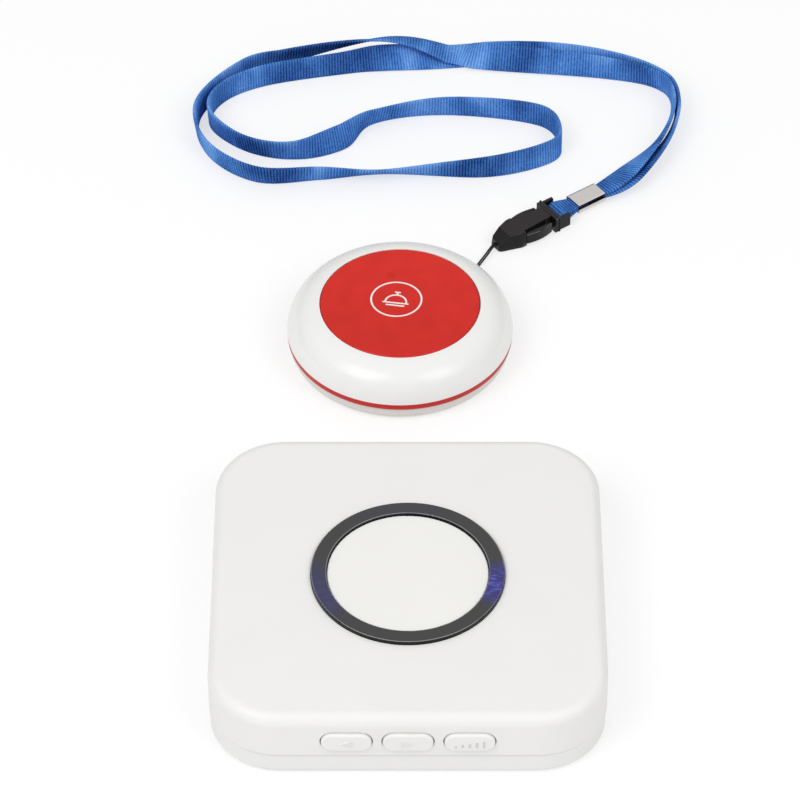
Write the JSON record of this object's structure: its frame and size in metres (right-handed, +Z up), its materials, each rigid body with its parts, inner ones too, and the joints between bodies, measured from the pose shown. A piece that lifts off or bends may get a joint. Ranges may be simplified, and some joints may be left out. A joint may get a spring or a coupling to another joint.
{
  "type": "caregiver pager set",
  "caption": "Desk receiver with a light ring and side buttons, and a round call pendant with a large press disc on a ribbon lanyard with a release buckle.",
  "frame": {"origin": "on the table, in the middle of the box round the receiver and the pendant, lanyard left out", "axes": "+Z up, -Y is the receiver's side with the buttons, +Y runs from the receiver to the pendant"},
  "size_m": [0.1417, 0.2873, 0.0211],
  "materials": {
    "white_shell": "satin white moulding",
    "white_base": "fine-grained white moulding",
    "smoked_ring": "polished smoked translucent plastic",
    "board_green": "solder resist",
    "lamp": "clear lamp resin",
    "steel": "zinc plated",
    "black_plastic": "black moulding",
    "brass_wire": "bare wire",
    "cell_wrap": "printed sleeve, left plain",
    "speaker_metal": "grey paint",
    "speaker_paper": "pressed fibre",
    "foot_rubber": "soft rubber",
    "call_red": "satin red moulding",
    "band_red": "red moulding",
    "pendant_base_white": "warm white moulding",
    "nickel": "nickel plate",
    "ribbon_blue": "ribbed woven ribbon",
    "cord_black": "braided thread"
  },
  "bodies": {
    "receiver": {"top_cover": "white_shell", "back_cover": "white_base", "light_ring": "smoked_ring", "centre_disc": "white_shell", "led_board": "board_green", "leds": "lamp", "led_screws": "steel", "main_board": "board_green", "side_switches": "black_plastic", "board_screws": "steel", "antenna": "brass_wire", "speaker_frame": "speaker_metal", "speaker_cone": "speaker_paper", "battery_cells": "cell_wrap", "battery_plates": "steel", "battery_springs": "steel", "case_screws": "steel", "rubber_feet": "foot_rubber"},
    "previous_button": {"button_previous": "white_shell"},
    "next_button": {"button_next": "white_shell"},
    "volume_button": {"button_volume": "white_shell"},
    "door": {"battery_door": "white_base"},
    "pendant": {"pendant_shell": "white_shell", "seam_ring": "band_red", "pendant_base": "pendant_base_white", "pendant_board": "board_green", "call_switch": "black_plastic", "indicator_led": "lamp", "coin_cell": "steel", "cell_clip": "steel", "pendant_screws": "steel", "strap_post": "steel", "strap_cord": "cord_black", "buckle_nose": "black_plastic", "buckle_socket": "black_plastic", "buckle_loop": "ribbon_blue", "ribbon_crimp": "nickel", "lanyard_ribbon": "ribbon_blue"},
    "call_disc": {"call_button": "call_red"},
    "front_arm": {"buckle_arm_front": "black_plastic"},
    "rear_arm": {"buckle_arm_rear": "black_plastic"}
  },
  "joints": [
    {"name": "previous_press", "type": "slide", "parent": "receiver", "child": "previous_button", "axis": [0, 1, 0], "range_m": [0, 0.0005], "stiffness_N_per_m": 1000, "springref_m": -0.001},
    {"name": "next_press", "type": "slide", "parent": "receiver", "child": "next_button", "axis": [0, 1, 0], "range_m": [0, 0.0005], "stiffness_N_per_m": 1000, "springref_m": -0.001},
    {"name": "volume_press", "type": "slide", "parent": "receiver", "child": "volume_button", "axis": [0, 1, 0], "range_m": [0, 0.0005], "stiffness_N_per_m": 1000, "springref_m": -0.001},
    {"name": "door_slide", "type": "slide", "parent": "receiver", "child": "door", "axis": [1, 0, 0], "range_m": [0, 0.052]},
    {"name": "pendant_lift", "type": "slide", "parent": "receiver", "child": "pendant", "axis": [0, 0, 1], "range_m": [0, 0.1]},
    {"name": "call_press", "type": "slide", "parent": "pendant", "child": "call_disc", "axis": [0, 0, -1], "range_m": [0, 0.0005], "stiffness_N_per_m": 1500, "springref_m": -0.001},
    {"name": "front_arm_squeeze", "type": "hinge", "parent": "pendant", "child": "front_arm", "pos_m": [0.03404, 0.10561, 0.0027], "axis": [0, 0, 1], "range_deg": [0, 5], "stiffness_Nm_per_rad": 0.02},
    {"name": "rear_arm_squeeze", "type": "hinge", "parent": "pendant", "child": "rear_arm", "pos_m": [0.02971, 0.11156, 0.0027], "axis": [0, 0, -1], "range_deg": [0, 5], "stiffness_Nm_per_rad": 0.02}
  ]
}
